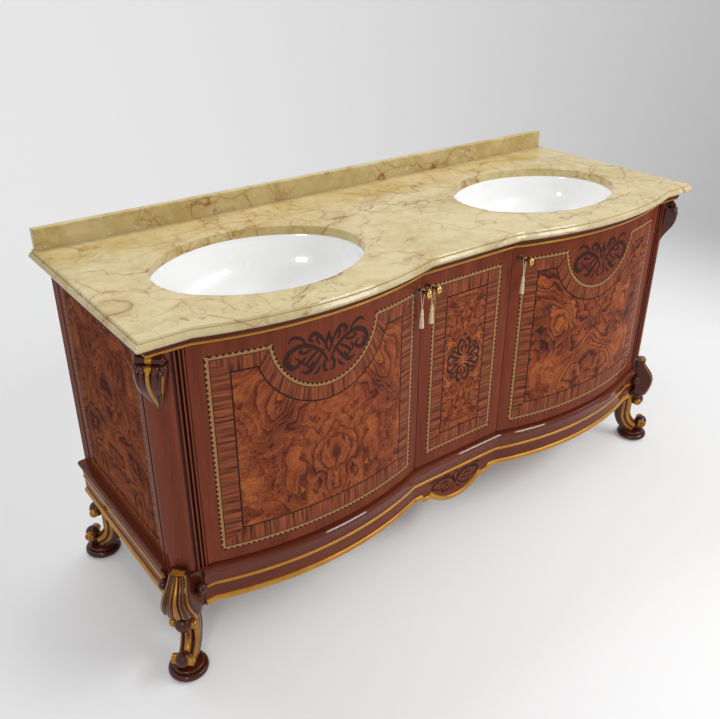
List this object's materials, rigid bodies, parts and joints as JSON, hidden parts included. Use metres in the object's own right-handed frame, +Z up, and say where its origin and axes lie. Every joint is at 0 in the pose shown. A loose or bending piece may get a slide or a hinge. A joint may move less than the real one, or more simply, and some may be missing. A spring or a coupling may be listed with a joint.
{
  "type": "double vanity unit",
  "caption": "Bathroom vanity unit with a bowed front, bowls set under a marble top, splash board, gilt mouldings, carved scroll legs and pivot-hinged marquetry doors.",
  "frame": {"origin": "centre of the unit's footprint box, on the floor", "axes": "+X to the user's right along the length, +Y towards the wall, +Z up"},
  "size_m": [1.83, 0.684, 0.961],
  "materials": {
    "marble": "polished veined stone",
    "ceramic": "glazed",
    "mahogany": "gloss lacquer",
    "veneer": "gloss lacquer over veneers",
    "lining": "satin",
    "gilding": "burnished gilding",
    "brass": "polished",
    "steel": "zinc plated",
    "thread": "twisted silk thread"
  },
  "bodies": {
    "case": {"marble_top": "marble", "backsplash": "marble", "left_basin": "ceramic", "right_basin": "ceramic", "front_cornice": "mahogany", "left_cornice": "mahogany", "right_cornice": "mahogany", "front_rail": "mahogany", "front_left_post": "mahogany", "front_right_post": "mahogany", "rear_left_post": "mahogany", "rear_right_post": "mahogany", "left_capital": "mahogany", "right_capital": "mahogany", "front_plinth": "mahogany", "left_plinth": "mahogany", "right_plinth": "mahogany", "front_left_leg": "mahogany", "front_right_leg": "mahogany", "rear_left_leg": "mahogany", "rear_right_leg": "mahogany", "left_side_panel": "veneer", "right_side_panel": "veneer", "apron_inlay": "veneer", "back_panel": "lining", "bottom_board": "lining", "left_partition": "lining", "right_partition": "lining", "rear_rail": "lining", "rear_plinth": "lining", "corner_blocks": "lining", "gilt_beads": "gilding", "gilt_lines": "gilding", "gilt_edges": "gilding", "left_fixed_leaves": "brass", "centre_fixed_leaves": "brass", "right_fixed_leaves": "brass", "basin_clips": "steel", "magnet_catches": "steel"},
    "left_leaf": {"left_door": "veneer", "left_knob": "brass", "left_door_leaves": "brass", "left_strike": "steel", "left_tassel": "thread", "left_tassel_cord": "thread"},
    "centre_leaf": {"centre_door": "veneer", "centre_knob": "brass", "centre_door_leaves": "brass", "centre_strike": "steel", "centre_tassel": "thread", "centre_tassel_cord": "thread"},
    "right_leaf": {"right_door": "veneer", "right_knob": "brass", "right_door_leaves": "brass", "right_strike": "steel", "right_tassel": "thread", "right_tassel_cord": "thread"}
  },
  "joints": [
    {"name": "left_door_pivot", "type": "hinge", "parent": "case", "child": "left_leaf", "pos_m": [-0.7805, -0.25, 0.571], "axis": [0, 0, -1], "range_deg": [0, 100]},
    {"name": "centre_door_pivot", "type": "hinge", "parent": "case", "child": "centre_leaf", "pos_m": [0.1505, -0.25, 0.571], "axis": [0, 0, 1], "range_deg": [0, 95]},
    {"name": "right_door_pivot", "type": "hinge", "parent": "case", "child": "right_leaf", "pos_m": [0.7805, -0.25, 0.571], "axis": [0, 0, 1], "range_deg": [0, 100]}
  ]
}
